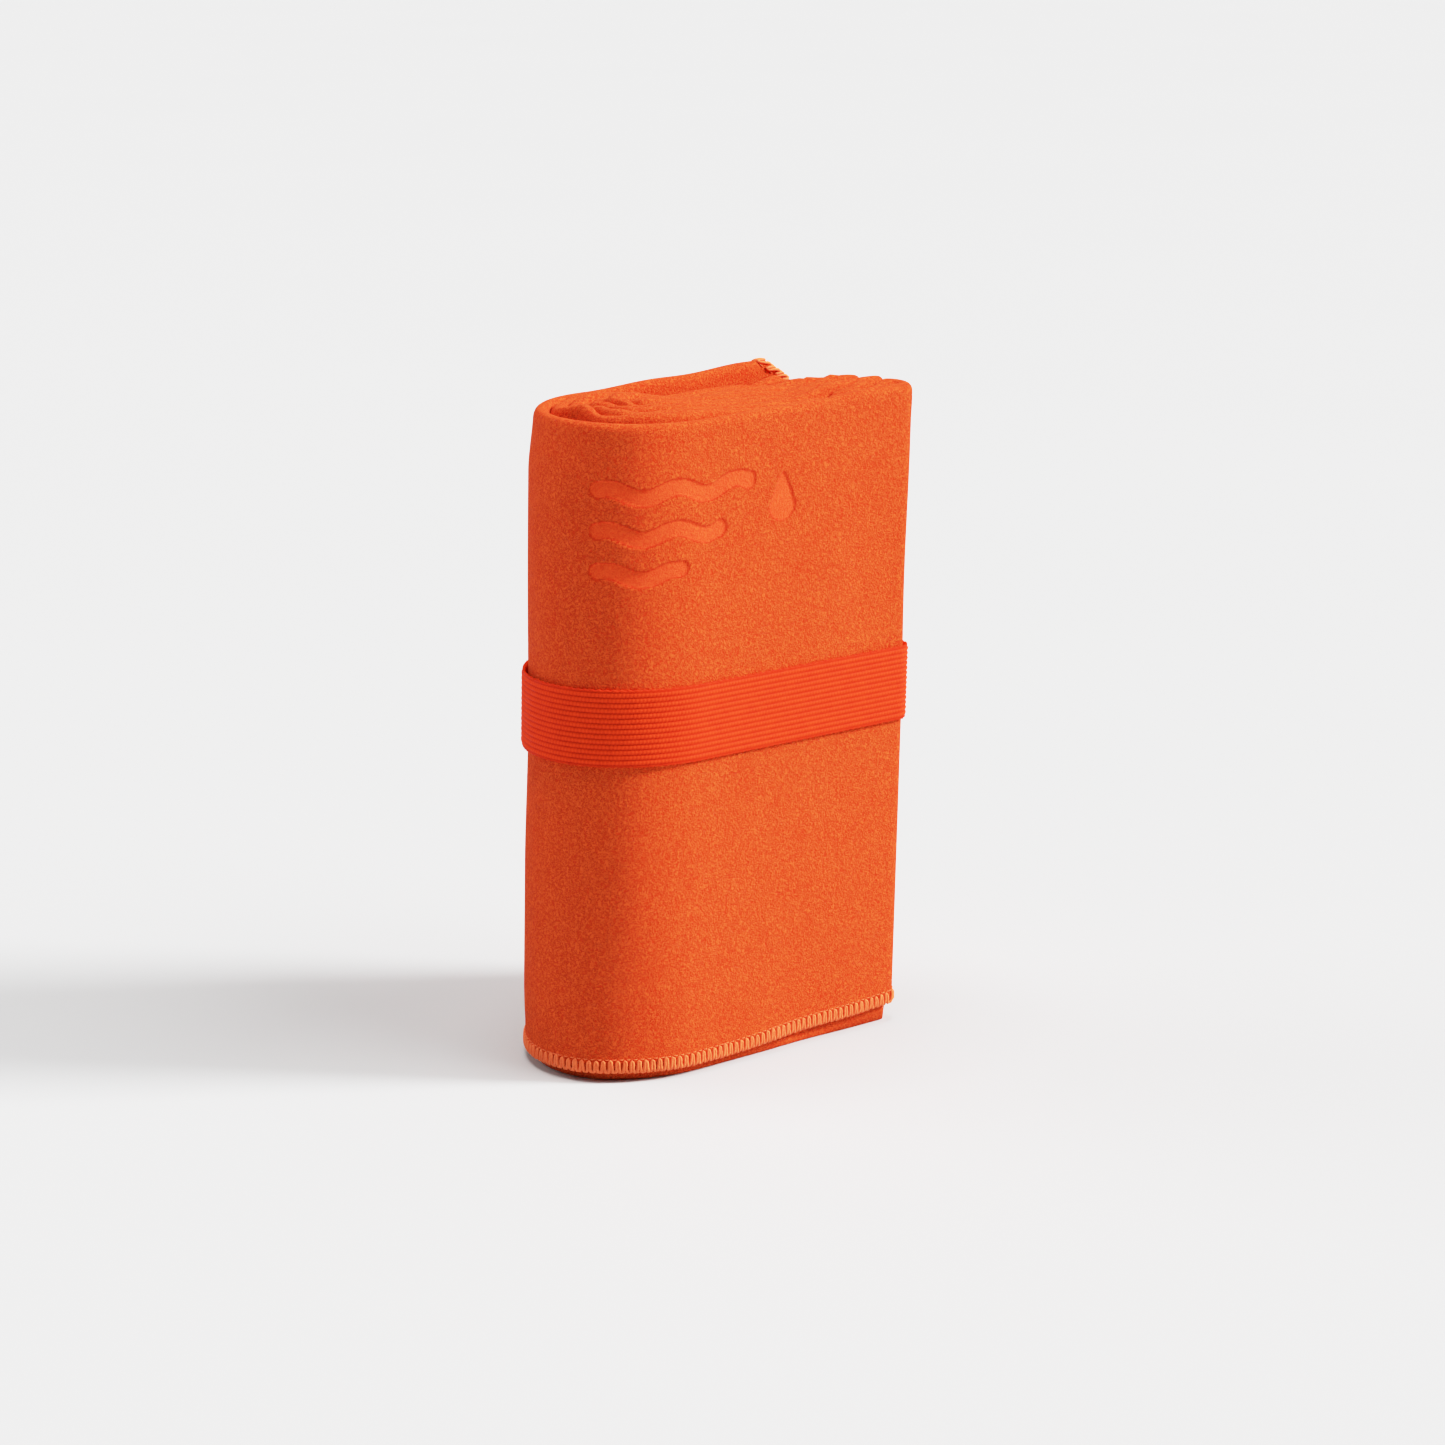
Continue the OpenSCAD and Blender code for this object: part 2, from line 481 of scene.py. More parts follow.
@dataclass(frozen=True)
class PaleSweep:
    """The pale matt paper of the studio floor."""

    name: str = "pale_sweep"
    dark: Triple = (0.510, 0.508, 0.507)
    light: Triple = (0.530, 0.528, 0.527)
    cloud: float = 400.0

    def material(self) -> bpy.types.Material:
        """Builds the material.

        Returns:
            The new material.
        """
        bench = NodeBench(self.name)
        bench.connect(bench.tint(bench.noise(self.cloud), self.dark, self.light), "Base Color")
        bench.constant(Roughness=0.75, Specular_IOR_Level=0.2)
        return bench.material


@dataclass
class FoldPlan:
    """The path of the towel's long strip, folded end over end, with how it settles.

    Lengths are in millimetres. A place on the strip is (s, n, z): how far along the strip it is
    from the loose end, how far it is from the strip's middle towards the cloth's outer side, and
    its height before the bundle settles. Passes are counted from the front face to the back face,
    and x runs from the round end to the tight turns.

    Attributes:
        nose_stretch: length of the round end's half ellipse, as a share of half the thickness.
        flap_setback: how far the loose end stops short of the tight turns.
        core_setback: how far the core end stops short of them.
        turn_stagger: difference in reach between neighbouring tight turns.
        spare: path kept beyond both ends, for the threads that wrap round them.
        last_lip: drop of the back pass's top by the round end, in the middle and by the turns.
        first_lip: the same for the front pass.
        tucks: dents in single passes' tops, as pass, x, half width and depth.
        slack: how far the loose outer wrap gives way inwards.
        opening: how wide the hollow behind the round end gapes at the top.
        flap_bend: how far the loose end's top corner folds over.
        draw_in: how far the round end draws in at its foot and at its top.
        bulge: how far the tight turns belly out at mid height.
    """

    length: float
    thickness: float
    height: float
    lean: float
    passes: int = 12
    ply: float = 1.15
    plies: int = 4
    nose_stretch: float = 1.14
    flap_setback: float = 5.0
    core_setback: float = 9.0
    turn_stagger: float = 0.8
    step: float = 0.25
    spare: float = 3.0
    last_lip: Triple = (2.6, 0.9, -0.9)
    first_lip: Triple = (3.4, 2.0, 0.0)
    tucks: tuple[tuple[int, float, float, float], ...] = (
        (1, 32.0, 5.0, 3.4), (1, 52.5, 4.0, 3.0), (3, 43.0, 4.5, 2.5), (5, 30.0, 5.0, 1.5)
    )
    slack: float = 0.85
    opening: float = 6.0
    flap_bend: float = 9.0
    draw_in: tuple[float, float] = (1.0, 1.9)
    bulge: float = 2.8

    def __post_init__(self) -> None:
        """Walks the path once and keeps it as closely spaced points."""
        self.last = self.passes - 1
        self.strip = self.ply * self.plies
        self.pitch = (self.thickness - self.strip) / self.last
        self.half_length = self.length / 2.0
        self.nose_x = self.nose_stretch * self.thickness / 2.0 - self.half_length
        self._walk()

    def order(self, k: int) -> int:
        """Gives the pass that comes k-th from the loose end."""
        return (self.last - k // 2, k // 2, k // 2, self.last - k // 2)[k % 4]

    def lane_y(self, i: int) -> float:
        """Gives a pass's distance from the middle of the bundle."""
        return (i - self.last / 2.0) * self.pitch

    def depth(self, i: int) -> int:
        """Gives how many passes lie outside a pass."""
        return min(i, self.last - i)

    def outward(self, i: int) -> int:
        """Gives 1 where the cloth's outer side faces away from the bundle's middle, or -1."""
        return 1 if self.depth(i) % 2 == 0 else -1

    def turn_x(self, i: int) -> float:
        """Gives the centre of the tight turn that a pass ends in."""
        group = i // 2 if i < self.passes // 2 else (self.passes - i) // 2
        return self.half_length - self.pitch / 2.0 - self.strip / 2.0 - self.turn_stagger * group

    def lean_shift(self, z: np.ndarray) -> np.ndarray:
        """Gives how far the lean moves what is at a height."""
        return math.tan(self.lean) * (z - self.height / 2.0)

    def sink(self, i: int, x: float) -> float:
        """Gives how far below the full height a pass's top lip has settled.

        Args:
            i: the pass.
            x: the place along it.

        Returns:
            The lip's drop, in millimetres.
        """
        by_nose, by_end = float(1.0 - ease(x, -25.0, 6.0)), float(ease(x, 12.0, 50.0))
        shares = (by_nose, 1.0 - by_nose - by_end, by_end)
        wave = float(Ripple(40 + i, 80.0, 24.0).at(x))
        if i == self.last:
            return float(np.dot(self.last_lip, shares))
        if i == 0:
            return float(np.dot(self.first_lip, shares)) + 0.2 * wave
        tuft = float(Ripple(70 + i, 24.0, 9.0).at(x))
        at_nose = 1.3 * (1.0 - i / 6.0) if i < 6 else 0.5 * (i - 6.0)
        at_middle = 2.2 + 0.37 * i
        at_end = 6.6 * float(ease(i, 1.0, 10.0)) - 1.2 + 1.5 * tuft + (0.7 if i % 2 else -0.5)
        if i == self.order(self.last):
            at_end += 3.0
        near = [(abs(x - at) / half, deep) for lane, at, half, deep in self.tucks if lane == i]
        tuck = sum(deep * math.exp(-(far**2)) for far, deep in near)
        return float(np.dot((at_nose, at_middle, at_end), shares)) + 0.45 * wave + tuck

    def _walk(self) -> None:
        """Fills the table of places, directions and settling along the strip.

        Its columns are x, y, the outward normal's x and y, the top lip's drop, how many passes lie
        outside, and how far the place belongs to the hollow behind the round end.
        """
        rows: list[list[float]] = []
        ends: list[int] = []
        for k in range(self.passes):
            i = self.order(k)
            facing = self.outward(i) * (-1 if i < self.passes // 2 else 1)
            to_nose = k % 2 == 0
            start, end = (self.turn_x(i), self.nose_x) if to_nose else (self.nose_x, self.turn_x(i))
            if k == 0:
                start = self.half_length - self.flap_setback + self.spare
            if k == self.last:
                end = self.half_length - self.core_setback + self.spare
            for x in spaced(start, end, self.step):
                rows.append([x, self.lane_y(i), 0.0, facing, self.sink(i, x), self.depth(i), 0.0])
            if k < self.last:
                rows += self._bend(i, self.order(k + 1), to_nose)
                ends.append(len(rows))
        self.table = np.array(rows, float)
        self.s = distance_along(self.table[:, :2]) - self.spare
        self.total = float(self.s[-1] - self.spare)
        self.nose_end, self.first_turn_end = (float(self.s[k]) for k in ends[:2])

    def _bend(self, i: int, j: int, at_nose: bool) -> list[list[float]]:
        """Leads the path from one pass into the next, round the round end or in a tight turn.

        Args:
            i: the pass that it leaves.
            j: the pass that it enters.
            at_nose: True for the round end.

        Returns:
            Rows of the path's table.
        """
        rows: list[list[float]] = []
        sign = -1 if i < self.passes // 2 else 1
        span = abs(self.lane_y(i) - self.lane_y(j)) / 2.0
        x_in = self.nose_x if at_nose else self.turn_x(i)
        for t in spaced(0.0, 1.0, self.step / max(math.pi * span, 1.0)):
            blend = float(ease(t, 0.0, 1.0))
            angle = math.pi / 2.0 * (sign if at_nose else i - j) * (1.0 - 2.0 * t)
            if at_nose:
                reach = np.array([-self.nose_stretch * math.cos(angle), math.sin(angle)])
                centre = np.array([self.nose_x, 0.0]) + span * reach
                normal = self.outward(i) * reach
                hollow = math.exp(-(((math.degrees(angle) + 4.0) / 21.0) ** 2))
            else:
                reach = np.array([math.cos(angle), math.sin(angle)])
                middle = np.array([x_in, (self.lane_y(i) + self.lane_y(j)) / 2.0])
                centre = middle + self.pitch / 2.0 * reach
                normal = -sign * reach
                hollow = 0.0
            drop = self.sink(i, x_in) * (1.0 - blend) + self.sink(j, x_in) * blend
            deep = self.depth(i) * (1.0 - t) + self.depth(j) * t
            rows.append([*centre, *normal, drop, deep, hollow])
        return rows

    def place(self, s: np.ndarray, n: np.ndarray, z: np.ndarray) -> np.ndarray:
        """Turns places on the strip into points of the settled, leaning bundle.

        Args:
            s: distance along the strip from the loose end.
            n: distance from the strip's middle towards the cloth's outer side.
            z: height before settling.

        Returns:
            Points in millimetres, with x, y and z on the last axis.
        """
        s, n, z = (np.asarray(v, float) for v in np.broadcast_arrays(s, n, z))
        x, y, nx, ny, drop, deep, hollow = (np.interp(s, self.s, column) for column in self.table.T)
        top = self.height
        inside = np.clip(deep, 0.0, 1.0)
        lip = ease(z, top - 13.0, top - 5.0)
        spread = 0.235 * lip * np.where(n > 0, inside, 1.0) * (1.0 - hollow * inside)
        loose = np.clip(Ripple(5, 130.0, 42.0).at(s, z * 0.8), 0.0, 1.1) ** 2
        n = n * (1.0 + spread) - (1.0 - inside) * (self.slack * loose - 0.10)
        x, y = x + n * nx, y + n * ny
        on_front = ease(s, self.nose_end - 40.0, self.nose_end + 5.0)
        rise = 3.6 * ease(x, -30.0, 70.0) ** 1.1 * on_front + 0.6 + 0.3 * Ripple(9, 70.0, 25.0).at(s)
        rise = rise * np.clip((n + 0.5) / 0.3, 0.0, 1.0)
        crumple = inside * (1.0 - ease(x, -30.0, -8.0)) * ease(z, top - 20.0, top - 5.0)
        drop = drop + 1.1 * crumple * Ripple(61, 30.0, 11.0).at(s)
        sway = 0.9 * crumple * Ripple(62, 34.0, 12.0).at(s)
        x, y = x + sway * nx, y + sway * ny
        high = z - drop * ease(z, top * 0.6, top - 8.0) + rise * (1.0 - ease(z, 3.0, 60.0))
        gape = hollow * ease(z, top - 60.0, top - 4.0) * inside * np.clip(1.2 - 0.2 * deep, 0.0, 1.0)
        x, y = x + 0.88 * self.opening * gape, y + 0.48 * self.opening * gape
        x = x - self.flap_bend * (1.0 - ease(s, 0.0, 45.0)) * ease(z, top - 7.5, top + 0.5)
        at_foot, at_top = self.draw_in
        pinch = at_foot * (1.0 - ease(z, 0.0, 25.0)) + at_top * ease(z, top - 20.0, top)
        x = x + pinch * (1.0 - ease(x, -62.0, -22.0))
        y = y + self.bulge * ease(x, 12.0, 52.0) * ease(z, 40.0, top - 30.0) * self._free_to_bulge(y)
        return np.stack([x + self.lean_shift(high), y, high], -1)

    def _free_to_bulge(self, y: np.ndarray) -> np.ndarray:
        """Gives how free the passes are to belly out: most at the front's third, not at the faces."""
        seat, face = self.lane_y(2) - self.pitch / 2.0, self.thickness / 2.0
        return ease(np.where(y < seat, (y + face) / (seat + face), (face - y) / (face - seat)), 0.0, 1.0)


@dataclass
class PlyProfile:
    """The strip's section: one cloth folded lengthwise into four plies, from hem to hem.

    Attributes:
        ply: room that each ply takes, in millimetres.
        cloth: the cloth's own thickness.
        outer_hem: height of the long edge that shows.
        inner_hem: height of the long edge between the plies.
        squareness: how square the top fold is, where 2 is round.
    """

    height: float
    ply: float = 1.15
    cloth: float = 0.95
    outer_hem: float = 3.0
    inner_hem: float = 4.2
    lip: float = 3.2
    squareness: float = 2.7

    @property
    def crown(self) -> float:
        """Height at which the top fold begins."""
        return self.height - self.cloth / 2.0 - self.lip

    def rows(self, fine: np.ndarray, wall_step: float) -> tuple[np.ndarray, np.ndarray]:
        """Lays out the section's points.

        Args:
            fine: heights of the rows on the outer ply, from its hem up to the lip.
            wall_step: distance between rows on the other plies.

        Returns:
            The points as (n, z) pairs, and for each the number of its wall.
        """
        outer, inner = 1.5 * self.ply, 0.5 * self.ply
        foot = self.ply / 2.0 + self.cloth / 2.0 + 0.02
        roof = self.crown - 2.0
        turn, bend = np.linspace(0.0, math.pi, 13), np.linspace(0.0, math.pi, 7)
        share = 2.0 / self.squareness
        across = outer * np.sign(np.cos(turn)) * np.abs(np.cos(turn)) ** share
        parts = [
            np.stack([np.full_like(fine, outer), fine], -1),
            np.stack([across, self.crown + self.lip * np.sin(turn) ** share], -1),
            self._wall(-outer, self.crown, foot, wall_step),
            np.stack([-self.ply - inner * np.cos(bend), foot - inner * np.sin(bend)], -1),
            self._wall(-inner, foot, roof, wall_step),
            np.stack([-inner * np.cos(bend), roof + inner * np.sin(bend)], -1),
            self._wall(inner, roof, self.inner_hem, wall_step),
            np.array([[inner, self.inner_hem]]),
        ]
        walls = np.concatenate([np.full(len(part), k) for k, part in enumerate(parts)])
        return np.concatenate(parts), walls

    @staticmethod
    def normals(rows: np.ndarray) -> np.ndarray:
        """Gives the outward direction at each of a section's points."""
        along = unit(np.gradient(rows, axis=0))
        return np.stack([along[:, 1], -along[:, 0]], -1)

    @staticmethod
    def _wall(n: float, start: float, end: float, step: float) -> np.ndarray:
        """Lays points up or down one ply, without its ends."""
        inside = spaced(start, end, step)[1:]
        return np.stack([np.full_like(inside, n), inside], -1)


@dataclass(frozen=True)
class PressedMotif:
    """Three pressed waves and a drop, as a sign that the cloth takes up water.

    Attributes:
        left: where the waves start, from the end of the round turn, in millimetres.
        lengths: the waves' lengths, from the top one down.
        heights: the heights of their middles.
        stroke: half the width of a wave's line.
        drop_at: the middle of the drop's round part.
        drop_tip: how far above it the drop's tip is, in radii.
    """

    left: float = -35.0
    lengths: Triple = (55.0, 44.0, 30.0)
    heights: Triple = (194.5, 181.0, 167.5)
    stroke: float = 2.7
    swing: float = 1.6
    wavelength: float = 21.0
    drop_at: tuple[float, float] = (31.0, 184.5)
    drop_radius: float = 5.2
    drop_tip: float = 2.1
    depth: float = 0.50
    rim: float = 0.4

    def cover(self, t: np.ndarray, z: np.ndarray) -> np.ndarray:
        """Gives how fully each place is pressed.

        Args:
            t: distance along the cloth from the end of the round turn.
            z: height.

        Returns:
            0 outside the shapes to 1 inside them, with a soft rim.
        """
        a, b = t - self.drop_at[0], z - self.drop_at[1]
        tip = self.drop_tip * self.drop_radius
        width = self.drop_radius * (1.0 - np.clip(b / tip, 0.0, 1.0)) ** 0.75
        nearest = np.where(b > 0, np.abs(a) - width, np.hypot(a, b) - self.drop_radius)
        nearest = np.where(b > tip, np.hypot(a, b - tip), nearest)
        for length, middle in zip(self.lengths, self.heights):
            along = np.clip(t, self.left + self.stroke, self.left + length - self.stroke)
            phase = math.tau * (along - self.left) / self.wavelength
            slope = self.swing * math.tau / self.wavelength * np.cos(phase)
            off = (z - middle - self.swing * np.sin(phase)) / np.sqrt(1.0 + slope**2)
            nearest = np.minimum(nearest, np.hypot(t - along, off) - self.stroke)
        return 1.0 - ease(nearest, -self.rim / 2.0, self.rim / 2.0)


@dataclass
class TowelCloth:
    """The towel itself: one sheet of napped cloth, folded into the standing bundle.

    The steps are distances between the mesh's points, and motif_reach is how far the close mesh
    goes on both sides of the round turn's end.
    """

    plan: FoldPlan
    profile: PlyProfile
    motif: PressedMotif
    plain_step: float = 3.2
    motif_step: float = 0.55
    turn_step: float = 0.7
    inner_step: float = 5.0
    wall_step: float = 6.0
    motif_reach: tuple[float, float] = (38.0, 40.0)

    def columns(self) -> tuple[np.ndarray, np.ndarray]:
        """Lays out the places along the strip where the mesh has a column of points.

        Returns:
            The close columns of the outer wrap, and the wider ones of the rest.
        """
        left, right = self.plan.nose_end - self.motif_reach[0], self.plan.nose_end + self.motif_reach[1]
        turn = self.plan.first_turn_end
        bend = turn - math.pi * self.plan.pitch / 2.0 - 2.0
        close = [
            spaced(0.0, left, self.plain_step),
            spaced(left, right, self.motif_step),
            spaced(right, bend, self.plain_step),
            spaced(bend, turn, self.turn_step),
            [turn - self.turn_step / 2.0],
        ]
        wide: list[float] = []
        position, end = turn, self.plan.total
        while position < end - 1.0:
            wide.append(position)
            x, y, normal_x, *_ = self.plan.table[np.searchsorted(self.plan.s, position + 0.5)]
            radius = max(abs(y), 2.8) if x < 0 else self.plan.pitch / 2.0
            bent = abs(normal_x) > 0.01
            position += min(self.inner_step, radius * 0.30) if bent else self.inner_step
        return np.concatenate(close), np.array([*wide, end])

    def heights(self) -> np.ndarray:
        """Lays out the rows on the outer ply.

        Returns:
            Their heights, closer together where the motif is.
        """
        low, high = self.motif.heights[-1] - 6.0, self.motif.heights[0] + 6.0
        plain = spaced(self.profile.outer_hem, low, self.plain_step)
        close = spaced(low, high, self.motif_step)
        return np.concatenate([plain, close, spaced(high, self.profile.crown, 1.6)])

    def skins(self, s: np.ndarray, rows: np.ndarray) -> tuple[np.ndarray, np.ndarray, np.ndarray]:
        """Places both faces of the cloth.

        Args:
            s: places along the strip.
            rows: the section's (n, z) pairs.

        Returns:
            The outer face's points, the inner face's points, and how fully each is pressed.
        """
        t = s - self.plan.nose_end
        cover = self.motif.cover(t[:, None], rows[None, :, 1])
        cover = cover * (rows[None, :, 0] > self.profile.ply) * (np.abs(t) < 60.0)[:, None]
        off = self.profile.normals(rows) * self.profile.cloth / 2.0
        faces = []
        for skin, share in ((rows + off, 1.0), (rows - off, 0.3)):
            n = skin[None, :, 0] - share * self.motif.depth * cover
            faces.append(self.plan.place(s[:, None], n, skin[None, :, 1]))
        return faces[0], faces[1], cover

    def build(self, finish: bpy.types.Material) -> bpy.types.Object:
        """Builds the cloth, with every ninth row of the outer ply kept on the passes inside.

        Args:
            finish: the cloth's material.

        Returns:
            The towel's mesh object.
        """
        rows, walls = self.profile.rows(self.heights(), self.wall_step)
        close, wide = self.columns()
        outer_ply = np.flatnonzero(walls == 0)
        keep = walls != 0
        keep[outer_ply[::9]] = True
        keep[outer_ply[-3:]] = True
        kept = np.flatnonzero(keep)
        draft = MeshDraft()
        marks: list[np.ndarray] = []
        skins: list[tuple[np.ndarray, np.ndarray]] = []
        for s, chosen in ((close, np.arange(len(rows))), (wide, kept)):
            face, back, cover = self.skins(s, rows)
            skins.append((draft.add_points(face[:, chosen]), draft.add_points(back[:, chosen])))
            marks += [cover[:, chosen].ravel()] * 2
        for face, back in skins:
            draft.add_quads(face)
            draft.add_quads(back, flip=True)
            draft.add_quads(np.stack([face[:, 0], back[:, 0]]))
            draft.add_quads(np.stack([back[:, -1], face[:, -1]]))
        (face_a, back_a), (face_b, back_b) = skins
        draft.add_quads(np.stack([back_a[0], face_a[0]]))
        draft.add_quads(np.stack([face_b[-1], back_b[-1]]))
        self._zip(draft, face_a[-1], face_b[0], kept, False)
        self._zip(draft, back_a[-1], back_b[0], kept, True)
        for end, turned in ((0, 1), (-1, -1)):
            ring = [face_a[-1, end], back_a[-1, end], back_b[0, end], face_b[0, end]]
            draft.faces.append([int(v) for v in ring[::turned]])
        return draft.build("towel_cloth_sheet", finish, pressed=np.concatenate(marks))

    @staticmethod
    def _zip(draft: MeshDraft, close: np.ndarray, wide: np.ndarray, kept: np.ndarray, flip: bool) -> None:
        """Joins a close column of points to a wide one.

        Args:
            draft: the mesh draft that takes the faces.
            close: point numbers of the close column.
            wide: point numbers of the wide column.
            kept: which of the close column's points the wide one has too.
            flip: True turns the faces over.
        """
        for k, (low, high) in enumerate(zip(kept, kept[1:])):
            face = [int(v) for v in (*close[low : high + 1], wide[k + 1], wide[k])]
            draft.faces.append(face if flip else face[::-1])


@dataclass
class OverlockedEdge:
    """Overlocking along one cut edge: looper yarn round the edge and a needle thread beside it.

    Attributes:
        pitch: length of a stitch, in millimetres.
        width: how far the loops reach into the cloth.
        yarn: the looper yarn's radius.
        needle: the needle thread's radius.
        hook: the yarn under the cut edge: how far along in stitches, how far into the cloth, how
            far off its middle, and how thick.
        rise: the first half of a loop, in the same terms.
        top: the loop's top.
    """

    plan: FoldPlan
    profile: PlyProfile
    edge: Edge
    pitch: float = 2.2
    width: float = 3.6
    yarn: float = 0.46
    needle: float = 0.17
    rise: tuple[tuple[float, ...], ...] = (
        (-0.32, -0.05, 0.80, 1.25),
        (-0.21, 0.60, 1.10, 1.22),
        (-0.18, 1.50, 1.15, 1.15),
        (-0.17, 2.50, 1.12, 1.10),
        (-0.15, 3.25, 1.05, 1.00),
    )
    top: tuple[float, ...] = (0.0, 3.62, 1.00, 0.95)
    hook: tuple[float, ...] = (-0.50, -0.30, 0.15, 1.20)

    def length(self) -> float:
        """Gives the edge's length."""
        if self.edge in (Edge.OUTER_LONG, Edge.INNER_LONG):
            return self.plan.total
        return float(distance_along(self._section())[-1])

    def _section(self) -> np.ndarray:
        """Gives the points of the strip's section, which the short ends follow."""
        return self.profile.rows(spaced(self.profile.outer_hem, self.profile.crown, 1.0), 1.0)[0]

    def points(self, along: np.ndarray, across: np.ndarray, off: np.ndarray) -> np.ndarray:
        """Places points near the edge.

        Args:
            along: distance along the edge.
            across: distance from the cut edge into the cloth.
            off: distance from the middle of the cloth towards its outer side.

        Returns:
            Points in millimetres.
        """
        ply = self.profile.ply
        if self.edge is Edge.OUTER_LONG:
            return self.plan.place(along, 1.5 * ply + off, self.profile.outer_hem + across)
        if self.edge is Edge.INNER_LONG:
            return self.plan.place(along, 0.5 * ply + off, self.profile.inner_hem + across)
        rows = self._section()
        walked = distance_along(rows)
        n, z = (np.interp(along, walked, column) for column in rows.T)
        m, u = (np.interp(along, walked, column) for column in self.profile.normals(rows).T)
        s = across if self.edge is Edge.LOOSE_END else self.plan.total - across
        return self.plan.place(s, n + off * m, z + off * u)

    def loops(self, front: bool) -> Yarn:
        """Lays one side's looper yarn in loops from the cut edge to the needle line and back.

        Args:
            front: True for the side that shows, and False for the other.

        Returns:
            The yarn.
        """
        rng = np.random.default_rng(self.edge.seed + int(front))
        count = int(self.length() / self.pitch)
        rise = np.array(self.rise)
        shape = np.vstack([self.hook, rise, self.top, rise[::-1] * (-1.0, 1.0, 1.0, 1.0)])
        base = (np.arange(count) + (0.5 if front else 1.0)) * self.pitch
        sway = rng.normal(0.0, 0.06, (count, len(shape)))
        reach = rng.normal(1.0, 0.035, (count, 1))
        along = base[:, None] + shape[None, :, 0] * self.pitch + sway
        across = shape[None, :, 1] * reach
        off = (self.profile.cloth / 2.0 + self.yarn * 0.55) * shape[None, :, 2] * (1.0 if front else -1.0)
        radii = self.yarn * shape[None, :, 3] * rng.normal(1.0, 0.05, (count, 1))
        points = self.points(along, across, np.broadcast_to(off, along.shape))
        points[..., 2] = np.maximum(points[..., 2], self.yarn * 1.3)
        return Yarn(points.reshape(-1, 3), radii.ravel(), 6 if self.edge.shows else 4)

    def needle_line(self) -> Yarn:
        """Lays the needle thread, which dips through the cloth between stitches.

        Returns:
            The thread.
        """
        stitches = int(self.length() / self.pitch) - 1
        beat = np.arange(stitches * 4) / 4.0
        off = (self.profile.cloth / 2.0 + 0.1) * np.tile([0.0, 1.0, 1.0, 0.0], stitches) + 0.1
        points = self.points((beat + 0.6) * self.pitch, np.full_like(beat, self.width + 0.45), off)
        points[..., 2] = np.maximum(points[..., 2], self.needle)
        return Yarn(points, np.full(len(points), self.needle), 5)

    def build(self, finish: bpy.types.Material) -> tuple[bpy.types.Object, bpy.types.Object]:
        """Builds the edge's sewing.

        Args:
            finish: the thread's material.

        Returns:
            The edging of looper yarn, and the needle thread.
        """
        edging, seam = MeshDraft(), MeshDraft()
        for front in (True, False):
            self.loops(front).lay(edging)
        self.needle_line().lay(seam)
        name = self.edge.value
        return edging.build(f"{name}_looper_yarn", finish), seam.build(f"{name}_needle_thread", finish)


